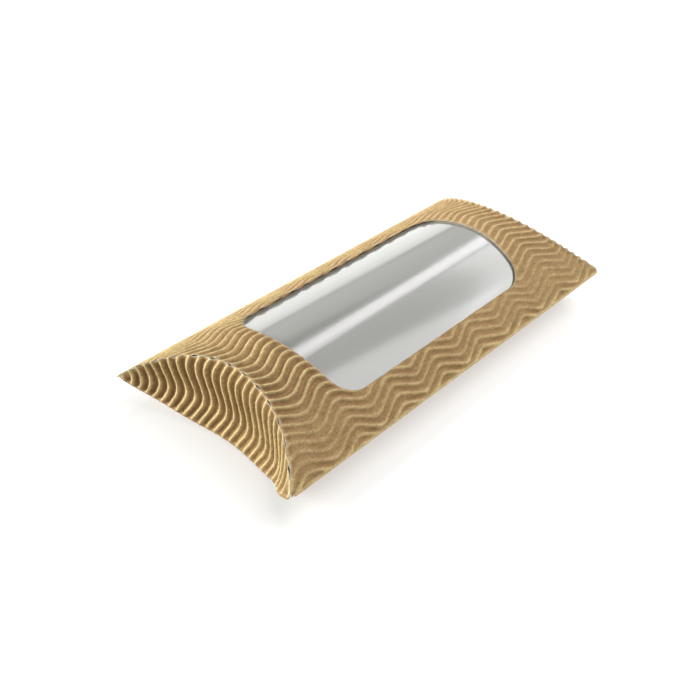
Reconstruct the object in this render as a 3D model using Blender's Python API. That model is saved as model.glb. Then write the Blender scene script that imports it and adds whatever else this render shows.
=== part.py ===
"""Window sandwich box: a pillow carton of wave-fluted, single-face board.

X runs along the box, Y across it and Z up. The box lies on its belly at Z = 0 and
the origin is under its middle. All sizes are in metres.

The blank is described by its flat coordinates: s across the flutes, measured from the
panel's centre line, and x along the box. Past the end creases x runs on down the end
flaps, so the flutes cross each crease unbroken. Depth is measured inward from the
crests of the flutes, square to the board.
"""
import math

import bmesh
import bpy
from mathutils import Vector

# Carton
BOX_LENGTH = 0.203
BOX_WIDTH = 0.090
TOP_RISE = 0.0193
BELLY_DROP = 0.0130
BELLY_FLAT = 0.0180
TOP_CREASE_REACH = 0.0192
BOTTOM_CREASE_REACH = 0.0149

# Board: a smooth liner inside and a wave-fluted paper outside
LINER_PAPER = 0.00035
FLUTE_HEIGHT = 0.0012
FLUTE_PAPER = 0.00025
FLUTE_PITCH = 0.00376
GLUED_VALLEY = 0.0016
PRESSED_CREST = 0.0012
WAVE_LENGTH = 0.0265
WAVE_SWING = 0.0024
WAVE_START = -0.0120

# Window
WINDOW_LENGTH = 0.1190
WINDOW_WIDTH = 0.0574
WINDOW_SHIFT_X = 0.0003
WINDOW_SHIFT_Y = -0.0025
WINDOW_CORNER = 0.0085
FILM = 0.00025
FILM_LAP = 0.0070
GLUE_FILM = 0.00015
GLUE_WIDTH = 0.0040
GLUE_SETBACK = 0.0015

# Flaps and seam
INNER_FLAP_CUT = 0.0110
TAB_WIDTH = 0.0140
TAB_CRUSHED = 0.0004
SEAM_GLUE = 0.0002
SEAM_GLUE_WIDTH = 0.0060
FOLD_ROUND = 0.0006

# Clearances
LAYER_GAP = 0.00025
CREASE_GAP = 0.0004
FLAP_GAP = 0.0004
EDGE_LIFT = 0.0008
OUTER_TIP_SETBACK = 0.0016
OUTER_TIP_HEIGHT = 0.0012
INNER_TIP_SETBACK = 0.0050
MERGE_DISTANCE = 0.00001

BOARD = FLUTE_HEIGHT + LAYER_GAP + LINER_PAPER
LINER_DEPTH = FLUTE_HEIGHT + LAYER_GAP
INNER_FLAP_DEPTH = BOARD + FLAP_GAP
SIDE_HEIGHT = BELLY_DROP
HALF_LENGTH = BOX_LENGTH / 2
HALF_WIDTH = BOX_WIDTH / 2


# Cross-sections of the two panels

def arc_radius(half_chord, rise):
    return (half_chord ** 2 + rise ** 2) / (2 * rise)


TOP_RADIUS = arc_radius(HALF_WIDTH, TOP_RISE)
TOP_SLOPE = math.asin(HALF_WIDTH / TOP_RADIUS)
TOP_HALF = TOP_RADIUS * TOP_SLOPE
BELLY_RADIUS = arc_radius(HALF_WIDTH - BELLY_FLAT / 2, BELLY_DROP)
BELLY_SLOPE = math.asin((HALF_WIDTH - BELLY_FLAT / 2) / BELLY_RADIUS)
BOTTOM_HALF = BELLY_FLAT / 2 + BELLY_RADIUS * BELLY_SLOPE


def top_section(s, depth):
    """Y and Z on the arched top panel."""
    angle = s / TOP_RADIUS
    radius = TOP_RADIUS - depth
    return radius * math.sin(angle), radius * math.cos(angle) - TOP_RADIUS + TOP_RISE + SIDE_HEIGHT


def top_height(y, depth):
    radius = TOP_RADIUS - depth
    return math.sqrt(radius ** 2 - y ** 2) - TOP_RADIUS + TOP_RISE + SIDE_HEIGHT


def bottom_section(s, depth):
    """Y and Z on the bottom panel, which has a flat strip along its middle."""
    beyond = abs(s) - BELLY_FLAT / 2
    if beyond <= 0:
        return s, depth
    angle = beyond / BELLY_RADIUS
    radius = BELLY_RADIUS - depth
    y = BELLY_FLAT / 2 + radius * math.sin(angle)
    return math.copysign(y, s), BELLY_RADIUS - radius * math.cos(angle)


def bottom_height(y, depth):
    beyond = max(abs(y) - BELLY_FLAT / 2, 0)
    radius = BELLY_RADIUS - depth
    return BELLY_RADIUS - math.sqrt(radius ** 2 - beyond ** 2)


# End walls: the flaps lie on one leaning, curved wall at each end

LEAN = (TOP_CREASE_REACH - BOTTOM_CREASE_REACH) / (TOP_RISE + BELLY_DROP)
SIDE_REACH = TOP_CREASE_REACH - LEAN * TOP_RISE
WALL_STEP = math.sqrt(1 + LEAN ** 2)


def wall_bow(y):
    """1 at the middle of the end and 0 at its corners."""
    return (top_height(y, 0) - SIDE_HEIGHT) / TOP_RISE


def wall_normal(y):
    """Inward normal of the near end wall."""
    bow_slope = -y / math.sqrt(TOP_RADIUS ** 2 - y ** 2) / TOP_RISE
    return Vector((1, -SIDE_REACH * bow_slope, -LEAN)).normalized()


def wall_reach(y, z, depth):
    """How far in from the corners the end wall lies at a depth."""
    surface = SIDE_REACH * wall_bow(y) + LEAN * (z - SIDE_HEIGHT)
    return surface + depth / wall_normal(y).x


def wall_point(y, z, depth, end):
    """A point on an end wall; end is -1 for the near end and 1 for the far end."""
    normal = wall_normal(y)
    x = HALF_LENGTH - wall_reach(y, z, 0) - normal.x * depth
    return Vector((end * x, y + normal.y * depth, z + normal.z * depth))


# Flutes

def wave(x):
    """Sideways swing of the flutes along the board, a triangle wave."""
    turn = (x - WAVE_START) / WAVE_LENGTH % 1
    return WAVE_SWING * (abs(turn - 0.5) * 4 - 1)


def wave_turns(low, high):
    """Every x where the flutes turn, from just below low to just above high."""
    step = WAVE_LENGTH / 2
    first = math.floor((low - WAVE_START) / step)
    last = math.ceil((high - WAVE_START) / step)
    return [WAVE_START + step * k for k in range(first, last + 1)]


def flute_depths(pressed):
    """One flute as (place across the pitch, depth) of its outer face."""
    valley = FLUTE_HEIGHT - FLUTE_PAPER
    if pressed:
        slope = (FLUTE_PITCH - PRESSED_CREST) / 2
        return [(-PRESSED_CREST / 2, 0), (PRESSED_CREST / 2, 0), (PRESSED_CREST / 2 + slope, valley)]
    slope = (FLUTE_PITCH - GLUED_VALLEY) / 2
    return [(-slope, valley), (0, 0), (slope, valley)]


def flute_columns(half, pressed):
    """Places across the board where the fluted paper bends, past both of its edges."""
    count = math.ceil((half + WAVE_SWING) / FLUTE_PITCH)
    places = [k * FLUTE_PITCH + place for k in range(-count, count + 1) for place, _ in flute_depths(pressed)]
    return sorted(places)


def flute_depth(across, pressed):
    """Depth of the fluted paper's outer face at a place across the flutes."""
    points = flute_depths(pressed)
    points.append((points[0][0] + FLUTE_PITCH, points[0][1]))
    place = (across - points[0][0]) % FLUTE_PITCH + points[0][0]
    for (left, start), (right, end) in zip(points, points[1:]):
        if place <= right:
            return start + (end - start) * (place - left) / (right - left)
    return points[-1][1]


def plain_columns(half):
    count = math.ceil(2 * half / FLUTE_PITCH)
    return [half * (2 * k / count - 1) for k in range(count + 1)]


def clamp(value, low, high):
    return max(low, min(high, value))


# Board pieces

SOLVE_STEPS = 24


def fluted_node(column, row, half, limits, pressed):
    """Blank position and depth of a node of a fluted sheet, kept inside the sheet's edges."""
    x = row
    for _ in range(SOLVE_STEPS):
        s = clamp(column + wave(x), -half, half)
        low, high = limits(s)
        x = clamp(row, low, high)
    return s, x, flute_depth(s - wave(x), pressed)


def sheet_mesh(columns, rows, node, place, thickness):
    """A closed thin sheet over a grid of the blank. node() gives (s, x, depth), place() a point."""
    bm = bmesh.new()
    bmesh.ops.create_grid(bm, x_segments=len(columns) - 1, y_segments=len(rows) - 1, size=1)
    across = bm.verts.layers.float.new("across")
    along = bm.verts.layers.float.new("along")
    into = bm.verts.layers.float.new("into")
    for vert in bm.verts:
        column = columns[round((vert.co.x + 1) / 2 * (len(columns) - 1))]
        row = rows[round((vert.co.y + 1) / 2 * (len(rows) - 1))]
        vert[across], vert[along], vert[into] = node(column, row)
        vert.co = place(vert[across], vert[along], vert[into])
    bmesh.ops.remove_doubles(bm, verts=bm.verts, dist=MERGE_DISTANCE)
    raised = bmesh.ops.extrude_face_region(bm, geom=bm.faces[:], use_keep_orig=True)
    for vert in raised["geom"]:
        if isinstance(vert, bmesh.types.BMVert):
            vert.co = place(vert[across], vert[along], vert[into] + thickness)
    bmesh.ops.recalc_face_normals(bm, faces=bm.faces)
    bmesh.ops.triangulate(bm, faces=bm.faces)
    mesh = bpy.data.meshes.new("sheet")
    bm.to_mesh(mesh)
    bm.free()
    return mesh


def top_place(s, x, depth):
    return Vector((x, *top_section(s, depth)))


def bottom_place(s, x, depth):
    return Vector((x, *bottom_section(s, depth)))


def top_limits(depth):
    """Ends of a top panel layer whose inner face is at this depth."""
    def limits(s):
        y, z = top_section(s, depth)
        end = HALF_LENGTH - wall_reach(y, z, depth) - CREASE_GAP / 2
        return -end, end
    return limits


def bottom_limits(depth):
    """Ends of a bottom panel layer whose inner face is at this depth."""
    def limits(s):
        y, z = bottom_section(s, depth)
        end = HALF_LENGTH - wall_reach(y, z, INNER_FLAP_DEPTH + depth) - CREASE_GAP / 2
        return -end, end
    return limits


# Side creases: the wedge where the two boards meet

WEDGE = (TOP_SLOPE + BELLY_SLOPE) / 2
FOLD_SPAN = BOARD / math.tan(WEDGE)
TOP_EDGE = TOP_HALF - FOLD_SPAN - LAYER_GAP
BOTTOM_EDGE = BOTTOM_HALF - FOLD_SPAN - LAYER_GAP
OUTER_TIP_Y = HALF_WIDTH - OUTER_TIP_SETBACK
INNER_TIP_Y = HALF_WIDTH - INNER_TIP_SETBACK


def flap_half(tip_y, depth, radius_at):
    """Half width on the blank of a flap layer whose tips stop at tip_y."""
    y = tip_y - wall_normal(tip_y).y * depth
    return radius_at(y)


def top_across(y):
    return TOP_RADIUS * math.asin(y / TOP_RADIUS)


def bottom_across(y):
    return BELLY_FLAT / 2 + BELLY_RADIUS * math.asin((y - BELLY_FLAT / 2) / BELLY_RADIUS)


def top_crease(s):
    """Blank x of the top crease."""
    y, z = top_section(s, 0)
    return HALF_LENGTH - wall_reach(y, z, 0)


def bottom_crease(s):
    """Blank x of the bottom crease."""
    y, z = bottom_section(s, 0)
    return HALF_LENGTH - wall_reach(y, z, INNER_FLAP_DEPTH)


def outer_flap_place(end):
    def place(s, x, depth):
        y, z = top_section(s, 0)
        drop = (abs(x) - top_crease(s)) / WALL_STEP
        return wall_point(y, z - drop, depth, end)
    return place


def inner_flap_place(end):
    def place(s, x, depth):
        y, z = bottom_section(s, 0)
        climb = (abs(x) - bottom_crease(s)) / WALL_STEP
        return wall_point(y, z + climb, INNER_FLAP_DEPTH + depth, end)
    return place


def outer_flap_limits(end, depth):
    """From the top crease down to the free edge, just above the belly but never quite to a point."""
    def limits(s):
        y, z = top_section(s, 0)
        normal = wall_normal(y)
        sunk_y = y + normal.y * depth
        roof = top_height(sunk_y, depth) - CREASE_GAP / 2 - normal.z * depth
        lowest_roof = top_height(y + normal.y * BOARD, BOARD)
        edge = min(bottom_height(y, 0) + EDGE_LIFT, lowest_roof - OUTER_TIP_HEIGHT)
        near = top_crease(s) + (z - roof) * WALL_STEP
        far = top_crease(s) + (z - edge) * WALL_STEP
        return (near, far) if end > 0 else (-far, -near)
    return limits


def inner_flap_limits(end, depth):
    """From the bottom crease up to the straight-cut free edge."""
    def limits(s):
        y, z = bottom_section(s, 0)
        normal = wall_normal(y)
        sunk_y = y + normal.y * (INNER_FLAP_DEPTH + depth)
        sink = normal.z * (INNER_FLAP_DEPTH + depth)
        floor = bottom_height(sunk_y, depth) + CREASE_GAP / 2 - sink
        roof = top_height(sunk_y, BOARD) - EDGE_LIFT
        edge = min(SIDE_HEIGHT + TOP_RISE - INNER_FLAP_CUT, roof) - sink
        near = bottom_crease(s) + (floor - z) * WALL_STEP
        far = bottom_crease(s) + (edge - z) * WALL_STEP
        return (near, far) if end > 0 else (-far, -near)
    return limits


def fluted_sheet(half, limits, place, pressed=False):
    """A fluted paper between the ends that limits() gives."""
    reach = [x for s in (0, half) for x in limits(s)]
    rows = wave_turns(min(reach), max(reach))

    def node(column, row):
        return fluted_node(column, row, half, limits, pressed)
    return sheet_mesh(flute_columns(half, pressed), rows, node, place, FLUTE_PAPER)


def plain_sheet(half, limits, place, depth, thickness):
    """A smooth sheet between the ends that limits() gives."""
    def node(column, row):
        return column, limits(column)[row], depth
    return sheet_mesh(plain_columns(half), [0, 1], node, place, thickness)


# Scene objects

def clear_scene():
    for old in list(bpy.data.objects):
        bpy.data.objects.remove(old)


def new_collection(name):
    collection = bpy.data.collections.new(name)
    bpy.context.scene.collection.children.link(collection)
    return collection


def principled(name, colour, roughness, alpha=1.0):
    material = bpy.data.materials.new(name)
    material.use_nodes = True
    shader = material.node_tree.nodes["Principled BSDF"]
    shader.inputs["Base Color"].default_value = (*colour, 1)
    shader.inputs["Roughness"].default_value = roughness
    shader.inputs["Metallic"].default_value = 0
    shader.inputs["Alpha"].default_value = alpha
    return material


LINER_COLOUR = (0.52, 0.36, 0.19)
FLUTE_COLOUR = (0.56, 0.38, 0.19)
FOLD_COLOUR = (0.44, 0.29, 0.15)
FILM_COLOUR = (0.80, 0.82, 0.80)
GLUE_COLOUR = (0.86, 0.84, 0.78)


def add_part(name, mesh, collection, colour, roughness, alpha=1.0):
    part = bpy.data.objects.new(name, mesh)
    mesh.name = name
    mesh.materials.append(principled(name + "_finish", colour, roughness, alpha))
    collection.objects.link(part)
    return part


def hang_on(part, hinge):
    """Parents a flap's sheet to its hinge without moving it."""
    for vert in part.data.vertices:
        vert.co -= hinge.location
    part.parent = hinge


def add_hinge(name, location, collection):
    hinge = bpy.data.objects.new(name, None)
    hinge.empty_display_size = FLUTE_PITCH
    hinge.location = location
    collection.objects.link(hinge)
    return hinge


def window_cutter(name, margin, collection):
    """An upright block with round corners, as wide as the window plus a margin all round."""
    bm = bmesh.new()
    bmesh.ops.create_cube(bm, size=1)
    length = WINDOW_LENGTH + 2 * margin
    width = WINDOW_WIDTH + 2 * margin
    for vert in bm.verts:
        vert.co.x *= length
        vert.co.y *= width
        vert.co.z *= 2 * TOP_RISE
    upright = [edge for edge in bm.edges if abs(edge.verts[0].co.z - edge.verts[1].co.z) > TOP_RISE]
    bmesh.ops.bevel(bm, geom=upright, offset=WINDOW_CORNER + margin, segments=4, profile=0.5,
                    affect="EDGES")
    mesh = bpy.data.meshes.new(name)
    bm.to_mesh(mesh)
    bm.free()
    cutter = bpy.data.objects.new(name, mesh)
    cutter.location = (WINDOW_SHIFT_X, WINDOW_SHIFT_Y, SIDE_HEIGHT + TOP_RISE)
    cutter.hide_render = True
    cutter.display_type = "WIRE"
    collection.objects.link(cutter)
    return cutter


def cut(part, cutter, operation="DIFFERENCE"):
    boolean = part.modifiers.new(cutter.name, "BOOLEAN")
    boolean.operation = operation
    boolean.solver = "EXACT"
    boolean.object = cutter


def build_panels(parts, cutters):
    window = window_cutter("window_cutter", 0, cutters)
    fluting = fluted_sheet(TOP_EDGE, top_limits(FLUTE_HEIGHT), top_place)
    cut(add_part("top_panel_fluting", fluting, parts, FLUTE_COLOUR, 0.85), window)
    liner = plain_sheet(TOP_EDGE, top_limits(BOARD), top_place, LINER_DEPTH, LINER_PAPER)
    cut(add_part("top_panel_liner", liner, parts, LINER_COLOUR, 0.8), window)

    fluting = fluted_sheet(BOTTOM_EDGE, bottom_limits(FLUTE_HEIGHT), bottom_place, pressed=True)
    add_part("bottom_panel_fluting", fluting, parts, FLUTE_COLOUR, 0.85)
    liner = plain_sheet(BOTTOM_EDGE, bottom_limits(BOARD), bottom_place, LINER_DEPTH, LINER_PAPER)
    add_part("bottom_panel_liner", liner, parts, LINER_COLOUR, 0.8)
    return window


def build_window(parts, cutters, window):
    """The clear film under the top panel's liner, and the frame of glue that holds it."""
    glue_depth = BOARD + LAYER_GAP
    film_depth = glue_depth + GLUE_FILM + LAYER_GAP
    half_span = WINDOW_WIDTH / 2 + abs(WINDOW_SHIFT_Y) + FILM_LAP
    half = top_across(half_span)

    def limits(_):
        return WINDOW_SHIFT_X - WINDOW_LENGTH / 2 - FILM_LAP, WINDOW_SHIFT_X + WINDOW_LENGTH / 2 + FILM_LAP

    film = plain_sheet(half, limits, top_place, film_depth, FILM)
    outline = window_cutter("film_cutter", FILM_LAP - MERGE_DISTANCE, cutters)
    cut(add_part("window_film", film, parts, FILM_COLOUR, 0.1, alpha=0.35), outline, "INTERSECT")

    glue = plain_sheet(half, limits, top_place, glue_depth, GLUE_FILM)
    frame = add_part("window_glue", glue, parts, GLUE_COLOUR, 0.4)
    cut(frame, window_cutter("glue_outer_cutter", GLUE_SETBACK + GLUE_WIDTH, cutters), "INTERSECT")
    cut(frame, window_cutter("glue_inner_cutter", GLUE_SETBACK, cutters))


def side_fold_mesh(side):
    """The folded strip of crushed board along a side crease; side is -1 in front and 1 behind."""
    tip = Vector((HALF_WIDTH, SIDE_HEIGHT))
    top = tip + FOLD_SPAN * Vector((-math.cos(TOP_SLOPE), math.sin(TOP_SLOPE)))
    low = tip + FOLD_SPAN * Vector((-math.cos(BELLY_SLOPE), -math.sin(BELLY_SLOPE)))
    heart = top + BOARD * Vector((-math.sin(TOP_SLOPE), -math.cos(TOP_SLOPE)))
    bm = bmesh.new()
    loops = []
    for end in (-1, 1):
        ring = []
        for y, z in (tip, top, heart, low):
            x = end * (HALF_LENGTH - wall_reach(y, z, BOARD) - CREASE_GAP)
            ring.append(bm.verts.new((x, side * y, z)))
        loops.append(ring)
    near, far = loops
    bm.faces.new(near)
    bm.faces.new(far)
    for k in range(4):
        bm.faces.new((near[k], near[k - 1], far[k - 1], far[k]))
    bmesh.ops.recalc_face_normals(bm, faces=bm.faces)
    crease = [edge for edge in bm.edges if set(edge.verts) == {near[0], far[0]}]
    bmesh.ops.bevel(bm, geom=crease, offset=FOLD_ROUND, segments=2, profile=0.5, affect="EDGES")
    bmesh.ops.triangulate(bm, faces=bm.faces)
    mesh = bpy.data.meshes.new("side_fold")
    bm.to_mesh(mesh)
    bm.free()
    return mesh


def strip_mesh(first, last, place, end, depth, thickness):
    """A plain strip of the glue seam between two places across the bottom panel."""
    count = math.ceil((last - first) / FLUTE_PITCH)
    columns = [first + (last - first) * k / count for k in range(count + 1)]

    def node(column, row):
        return column, row * end(column, depth + thickness), depth
    return sheet_mesh(columns, [-1, 1], node, place, thickness)


def build_seam(parts):
    """The glue tab, folded in from the top panel and stuck inside the bottom panel."""
    glue_depth = BOARD + LAYER_GAP
    crushed_depth = glue_depth + SEAM_GLUE + LAYER_GAP
    liner_depth = crushed_depth + TAB_CRUSHED + LAYER_GAP
    tab_inner = liner_depth + LINER_PAPER
    wedge_angle = 2 * WEDGE
    root = tab_inner / math.tan(wedge_angle) + BOARD / math.sin(wedge_angle) + CREASE_GAP
    last = BOTTOM_HALF - root
    first = last - TAB_WIDTH

    def end(s, depth):
        y, z = bottom_section(s, depth)
        return HALF_LENGTH - wall_reach(y, z, INNER_FLAP_DEPTH + BOARD) - depth - CREASE_GAP

    middle = (first + last) / 2
    glue_mesh = strip_mesh(middle - SEAM_GLUE_WIDTH / 2, middle + SEAM_GLUE_WIDTH / 2, bottom_place, end,
                           glue_depth, SEAM_GLUE)
    add_part("seam_glue", glue_mesh, parts, GLUE_COLOUR, 0.4)
    crushed = strip_mesh(first, last, bottom_place, end, crushed_depth, TAB_CRUSHED)
    add_part("glue_tab_fluting", crushed, parts, FLUTE_COLOUR, 0.85)
    liner = strip_mesh(first, last, bottom_place, end, liner_depth, LINER_PAPER)
    add_part("glue_tab_liner", liner, parts, LINER_COLOUR, 0.8)


def build_flap(prefix, hinge, half_at, limits, place, parts):
    """A flap's fluted paper and its liner, hung on the flap's hinge."""
    fluting = fluted_sheet(half_at(FLUTE_HEIGHT), limits(FLUTE_HEIGHT), place)
    hang_on(add_part(prefix + "_fluting", fluting, parts, FLUTE_COLOUR, 0.85), hinge)
    liner = plain_sheet(half_at(BOARD), limits(BOARD), place, LINER_DEPTH, LINER_PAPER)
    hang_on(add_part(prefix + "_liner", liner, parts, LINER_COLOUR, 0.8), hinge)


def build_end(label, end, parts):
    """The outer flap, creased to the top panel, and the inner flap, creased to the bottom."""
    top_hinge = Vector((end * top_crease(0), 0, SIDE_HEIGHT + TOP_RISE))
    hinge = add_hinge(label + "_outer_flap_hinge", top_hinge, parts)
    build_flap(label + "_outer_flap", hinge,
               lambda depth: flap_half(OUTER_TIP_Y, depth, top_across),
               lambda depth: outer_flap_limits(end, depth), outer_flap_place(end), parts)

    low_hinge = Vector((end * bottom_crease(0), 0, 0))
    hinge = add_hinge(label + "_inner_flap_hinge", low_hinge, parts)
    build_flap(label + "_inner_flap", hinge,
               lambda depth: flap_half(INNER_TIP_Y, INNER_FLAP_DEPTH + depth, bottom_across),
               lambda depth: inner_flap_limits(end, depth), inner_flap_place(end), parts)


def build():
    clear_scene()
    parts = new_collection("sandwich_box")
    cutters = new_collection("cutters")
    window = build_panels(parts, cutters)
    build_window(parts, cutters, window)
    for name, side in (("front_side_fold", -1), ("back_side_fold", 1)):
        add_part(name, side_fold_mesh(side), parts, FOLD_COLOUR, 0.85)
    build_seam(parts)
    for label, end in (("near", -1), ("far", 1)):
        build_end(label, end, parts)


build()
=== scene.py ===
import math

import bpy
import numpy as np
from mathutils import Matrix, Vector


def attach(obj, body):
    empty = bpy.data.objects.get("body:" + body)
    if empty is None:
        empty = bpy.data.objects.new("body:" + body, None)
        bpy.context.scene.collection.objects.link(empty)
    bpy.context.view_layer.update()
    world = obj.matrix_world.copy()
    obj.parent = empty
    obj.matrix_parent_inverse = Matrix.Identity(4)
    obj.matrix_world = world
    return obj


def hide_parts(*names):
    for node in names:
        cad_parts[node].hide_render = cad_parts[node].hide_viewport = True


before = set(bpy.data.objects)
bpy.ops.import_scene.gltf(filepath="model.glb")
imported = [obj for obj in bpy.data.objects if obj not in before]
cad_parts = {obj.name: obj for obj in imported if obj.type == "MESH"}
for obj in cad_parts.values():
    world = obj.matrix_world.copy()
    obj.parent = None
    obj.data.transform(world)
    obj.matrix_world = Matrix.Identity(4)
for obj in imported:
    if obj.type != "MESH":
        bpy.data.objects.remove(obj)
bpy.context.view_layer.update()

# A windowed pillow carton of wave-fluted kraft board, closed, in a white studio. Each paper is laid
# out on the flat blank and bent into place: s is the place across the flutes, x the place along the
# carton, and depth is measured inward from the crests of the flutes. All lengths are in metres.
# A span is a pair: where a change starts, and how much further on it is complete.

# Carton: the same sizes as in the CAD
BOX_LENGTH = 0.203
BOX_WIDTH = 0.090
TOP_RISE = 0.0193
BELLY_DROP = 0.0130
BELLY_FLAT = 0.0180
TOP_CREASE_REACH = 0.0192
BOTTOM_CREASE_REACH = 0.0149
BOARD = 0.0018
FLAP_GAP = 0.0004
INNER_FLAP_CUT = 0.0110
EDGE_LIFT = 0.0008

# Window. Each of its ends is a shallow curve: the furthest x, the y of that place, and how fast the
# end falls back to both sides of it, as far out as WINDOW_END_CLIP
WINDOW_WIDTH = 0.0574
WINDOW_MIDDLE_Y = -0.0025
NEAR_WINDOW_END = (-0.0592, 0.0, 1.5)
FAR_WINDOW_END = (0.0614, 0.003, 6.5)
WINDOW_END_CLIP = 0.04
WINDOW_CORNER = 0.0085
SNAP_STEPS = 3
TINY = 1e-9

# Film and glue behind the window. The glue's loops start as ovals and are moved to its margins
FILM_LAP = 0.0070
FILM_GAP = 0.00005
FILM_THICKNESS = 0.00006
FILM_HALF = 0.045
FILM_MARGIN = 0.002
GLUE_SETBACK = 0.0015
GLUE_WIDTH = 0.0040
GLUE_FILM = 0.00004
GLUE_UNEVEN = 0.0004
GLUE_WAVES = (0.9, 1.7, 0.3)
GLUE_START = 0.04
GLUE_START_STRETCH = 1.6
GLUE_PLACES = 360
GLUE_STEPS = 6

# Board as it looks: thin fluted paper, its valleys glued to the liner
FLUTE_PAPER = 0.00016
LINER_DEPTH = 0.00157
LINER_PAPER = BOARD - LINER_DEPTH
VALLEY_GLUE = 0.00002
VALLEY_DEPTH = LINER_DEPTH - FLUTE_PAPER - VALLEY_GLUE
FLUTE_PITCH = 0.00376
CREST_SHARE = 0.38
CREST_ROUND = 1.5

# Wave of the flutes: the x of its crests and troughs in turn, and how it sharpens along the carton
WAVE_SWING = 0.0025
WAVE_CRESTS_AND_TROUGHS = (
    -0.1150, -0.1021, -0.0899, -0.0763, -0.0633, -0.0516, -0.0386, -0.0259, -0.0137, -0.0001,
    0.0116, 0.0271, 0.0414, 0.0537, 0.0698, 0.0831, 0.0960, 0.1090, 0.1220)
LEAST_SHARPNESS = 0.55
ADDED_SHARPNESS = 0.38
SHARP_SPAN = (-0.070, 0.045)

# Small drift of a flute from its place: how much, wave along, wave across and start
WANDER = (
    (0.00015, 0.061, 0.033, 0),
    (0.00009, 0.0173, -0.0127, 1.3),
    (0.00005, 0.0046, 0.0061, 0.4),
    (0.00004, 0.0029, -0.0083, 2.1))

# Places across one flute that get a column of points, as shares of the pitch
FLUTE_STOPS = (-0.42, -0.33, -0.25, -0.19, -0.14, -0.09, -0.045, 0.0,
               0.045, 0.09, 0.14, 0.19, 0.25, 0.33, 0.42)
FEW_STOPS = (-0.33, -0.2, -0.1, 0.0, 0.1, 0.2, 0.33, 0.5)

# Spacing of the rows of points along each sheet, and of the columns across a flat one
TOP_ROWS = 0.0009
BOTTOM_ROWS = 0.0012
OUTER_FLAP_ROWS = 0.0008
INNER_FLAP_ROWS = 0.0016
FILM_ROWS = 0.0012
FLAT_COLUMNS = 0.0012
END_ROWS = (0.0003, 0.0007, 0.0012, 0.0018)
FREE_END_ROWS = END_ROWS[:2]

# Folds at the ends of a sheet: how round they are, least of all at the tips of the carton
FOLD_RADIUS = 0.0008
TIGHT_RADIUS = 0.00005
TIP_TIGHTNESS = 0.80
TIGHT_SPAN = (0.032, 0.013)
FOLD_TURNS = np.radians((45, 30, 15))
CREASE_GAP = 0.00006
SOLVE_STEPS = 14
FAR_AWAY = 9.0

# How the flutes are crushed: along end creases, at the tips, along side creases and at cuts, less
# so along the back of the window
CRUSHED_LEVEL = 0.00012
CRUSHED_SHARE = 0.35
CRUSH_REACH = 0.0011
TIP_CRUSH_REACH = 0.0100
TIP_CRUSH_WIDTH = 0.0014
SIDE_CRUSH_SHARE = 0.55
SIDE_CRUSH_REACH = 0.0015
CUT_LEVEL = 0.00137
CUT_SHARE = 0.12
CUT_REACH = 0.0024
BACK_SPAN = (0.018, 0.004)

# How the top panel is pressed at the far end, at the near front corner and along the front. The
# spans of the corner and of the front run towards that corner and towards the front
FAR_PRESS = 0.50
FAR_SPAN = (-0.020, 0.080)
CORNER_PRESS = 0.45
CORNER_SPAN_X = (0.050, 0.035)
CORNER_SPAN_Y = (0.010, 0.025)
FRONT_PRESS = 0.50
FRONT_SPAN = (0.020, 0.018)
PRESS_FADE = 0.0025

# Paler paper along folds, slits and the window's edge, partly broken fibres and partly a painted
# highlight, and the slits of a perforated crease
PALE_FOLD = 0.00030
PALE_SLIT = 0.0006
PALE_CUT = 0.00035
PALE_CUT_SHARE = 0.6
SLIT_SPACING = 2 * FLUTE_PITCH
SLIT_LENGTH = 0.0026
SLIT_WIDTH = 0.00016
SLIT_LIP = 0.00018
SLIT_LIP_REACH = 0.0012
SLIT_END = 0.043
SLIT_FADE = 0.002

# Flaps: their tips, the corners that spring outward, and the near outer flap's free edge, which
# hangs lower and stands off towards the front. A turn takes a deeper layer of the flap down, and
# TURN_SLIP is the share of that which it slips back up
LEAST_FLAP = 0.0004
TIP_DEPTHS = 60
TIP_PLACES = 2000
TIP_HEIGHT = 0.0012
TIP_FLARE = 0.0018
FLARE_START = 0.0290
FLARE_END = 0.0445
FLARE_TURN = 0.38
NEAR_FRONT_FLARE = 1.0
NEAR_BACK_FLARE = 0.2
FAR_FLARE = 0.3
TURN_SLIP = 0.95
FREE_EDGE_TURN = 0.035
TURN_SPAN = (-0.040, 0.020)
FREE_EDGE_DROP = 0.0012
DROP_SPAN = (0.004, 0.030)
INNER_TIP_Y = 0.0400

# Strips of crushed board along the side creases
SIDE_FOLD_RADIUS = 0.0008
SIDE_FOLD_GAP = 0.00005
SIDE_FOLD_PAPER = 0.0006
SIDE_FOLD_SETBACK = 0.0002
SIDE_FOLD_DENT = 0.0005
SIDE_FOLD_FADE = 0.8
SIDE_FOLD_ROWS = 220
SIDE_FOLD_STOPS = 6
SIDE_FOLD_TURNS = 9
SIDE_FOLD_STEPS = 6

# Meshes
WELD_STEPS = 5e6
SHARP_ANGLE = math.radians(45)

# Looks. Colours are linear red, green and blue. A noise has a scale, a detail and a stretch, and
# the tints at its two ends multiply the colour below it. A bump has a strength and a distance
WHITE = (1.0, 1.0, 1.0, 1.0)
# Flutes from valley through slope to crest: the darker valleys and slopes are painted shade, below
# paler crests
FLUTE_COLOURS_WITH_VALLEY_SHADE = ((0.31, 0.186, 0.077), (0.43, 0.283, 0.128), (0.65, 0.505, 0.252))
LINER_COLOUR = (0.46, 0.320, 0.150)
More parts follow.
